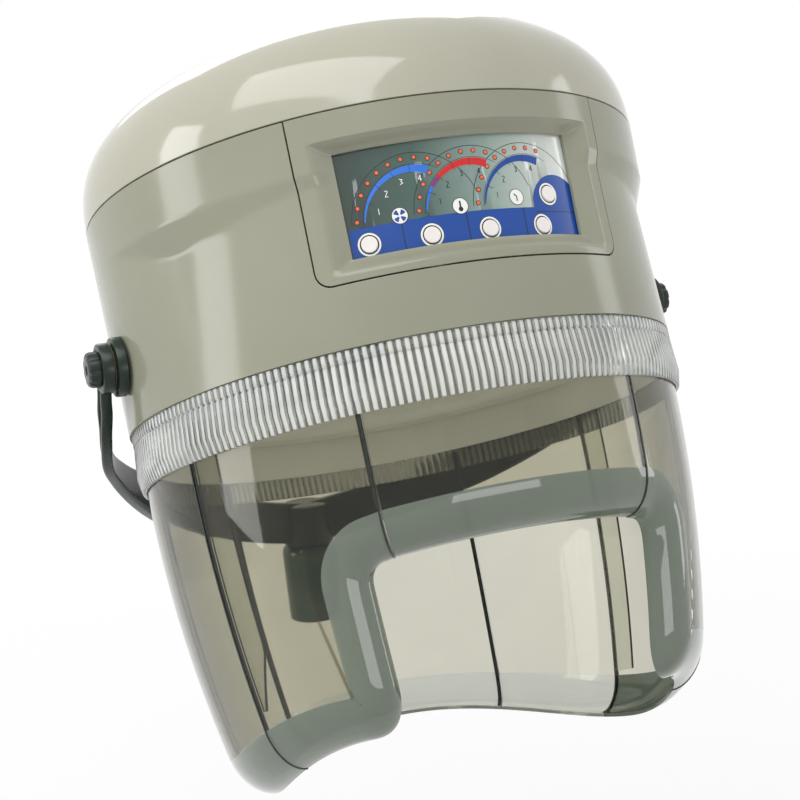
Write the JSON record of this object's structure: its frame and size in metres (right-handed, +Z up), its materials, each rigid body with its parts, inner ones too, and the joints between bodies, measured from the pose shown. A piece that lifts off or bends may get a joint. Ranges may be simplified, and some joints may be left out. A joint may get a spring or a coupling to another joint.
{
  "type": "hood hair dryer",
  "caption": "Tilting salon hair dryer hood with a clear shroud, sliding front flap, button panel and fork on a pole socket.",
  "frame": {"origin": "centre of the stand socket's mouth, on the pole's axis", "axes": "+Z up along the pole, -Y towards the face opening, +X to the right of someone looking at the panel"},
  "size_m": [0.4344, 0.4882, 0.5169],
  "materials": {
    "cover_plastic": "gloss",
    "shell_plastic": "gloss",
    "fork_paint": "satin",
    "socket_paint": "satin",
    "clear_smoked": "clear, ribbed on the collar and frosted on the rolled edge",
    "display_face": "printed, glossy",
    "button_white": "satin",
    "steel": "brushed",
    "galvanised": "dull",
    "board_green": "matt",
    "black_plastic": "matt",
    "inner_plastic": "matt",
    "mica": "matt",
    "coil_wire": "drawn wire",
    "filter_foam": "open foam",
    "friction_fibre": "matt"
  },
  "bodies": {
    "stand": {"fork": "fork_paint", "stand_socket": "socket_paint", "left_friction_washer": "friction_fibre", "right_friction_washer": "friction_fibre"},
    "hood": {"top_cover": "cover_plastic", "main_shell": "shell_plastic", "intake_filter": "filter_foam", "cable_gland": "black_plastic", "panel_bezel": "shell_plastic", "display_panel": "display_face", "switch_plate": "black_plastic", "control_board": "board_green", "rib_collar": "clear_smoked", "left_front_panel": "clear_smoked", "left_side_panel": "clear_smoked", "left_rear_panel": "clear_smoked", "left_front_strip": "clear_smoked", "left_rear_strip": "clear_smoked", "left_flap_guide": "inner_plastic", "left_pivot_hub": "fork_paint", "left_pivot_bracket": "galvanised", "left_pivot_bolt": "steel", "right_front_panel": "clear_smoked", "right_side_panel": "clear_smoked", "right_rear_panel": "clear_smoked", "right_front_strip": "clear_smoked", "right_rear_strip": "clear_smoked", "right_flap_guide": "inner_plastic", "right_pivot_hub": "fork_paint", "right_pivot_bracket": "galvanised", "right_pivot_bolt": "steel", "nape_panel": "clear_smoked", "base_ring": "inner_plastic", "inner_dome": "inner_plastic", "fan_deck": "galvanised", "deck_pillar_1": "steel", "deck_pillar_2": "steel", "deck_pillar_3": "steel", "deck_pillar_4": "steel", "motor_bracket": "galvanised", "fan_motor": "steel", "heater_plate": "mica", "heater_coil": "coil_wire", "thermal_cutout": "black_plastic", "transformer": "steel", "terminal_block": "inner_plastic"},
    "lock_screw": {"socket_lock_screw": "steel"},
    "left_knob": {"left_tension_knob": "fork_paint"},
    "right_knob": {"right_tension_knob": "fork_paint"},
    "flap": {"front_flap": "clear_smoked"},
    "fan": {"impeller": "black_plastic"},
    "speed_button": {"speed_button": "button_white"},
    "heat_button": {"heat_button": "button_white"},
    "time_button": {"time_button": "button_white"},
    "stop_button": {"stop_button": "button_white"},
    "start_button": {"start_button": "button_white"}
  },
  "joints": [
    {"name": "hood_tilt", "type": "hinge", "parent": "stand", "child": "hood", "pos_m": [0, -0.24062, 0.26583], "axis": [1, 0, 0], "range_deg": [-15, 18]},
    {"name": "left_knob_turn", "type": "hinge", "parent": "hood", "child": "left_knob", "pos_m": [0, -0.24062, 0.26583], "axis": [-1, 0, 0], "range_deg": [-180, 180]},
    {"name": "right_knob_turn", "type": "hinge", "parent": "hood", "child": "right_knob", "pos_m": [0, -0.24062, 0.26583], "axis": [1, 0, 0], "range_deg": [-180, 180]},
    {"name": "flap_slide", "type": "slide", "parent": "hood", "child": "flap", "axis": [0, 0.342, 0.9397], "range_m": [0, 0.04]},
    {"name": "fan_spin", "type": "hinge", "parent": "hood", "child": "fan", "pos_m": [0, -0.19941, 0.3615], "axis": [0, 0.342, 0.9397], "continuous": true},
    {"name": "lock_screw_turn", "type": "hinge", "parent": "stand", "child": "lock_screw", "pos_m": [0, 0.024, 0.026], "axis": [0, 1, 0], "range_deg": [0, 360]},
    {"name": "speed_press", "type": "slide", "parent": "hood", "child": "speed_button", "axis": [0.3633, 0.8755, -0.3187], "range_m": [0, 0.001], "stiffness_N_per_m": 300, "springref_m": -0.002},
    {"name": "heat_press", "type": "slide", "parent": "hood", "child": "heat_button", "axis": [0.1564, 0.9281, -0.3378], "range_m": [0, 0.001], "stiffness_N_per_m": 300, "springref_m": -0.002},
    {"name": "time_press", "type": "slide", "parent": "hood", "child": "time_button", "axis": [-0.0541, 0.9383, -0.3415], "range_m": [0, 0.001], "stiffness_N_per_m": 300, "springref_m": -0.002},
    {"name": "stop_press", "type": "slide", "parent": "hood", "child": "stop_button", "axis": [-0.2672, 0.9055, -0.3296], "range_m": [0, 0.001], "stiffness_N_per_m": 300, "springref_m": -0.002},
    {"name": "start_press", "type": "slide", "parent": "hood", "child": "start_button", "axis": [-0.3156, 0.8917, -0.3245], "range_m": [0, 0.001], "stiffness_N_per_m": 300, "springref_m": -0.002}
  ]
}
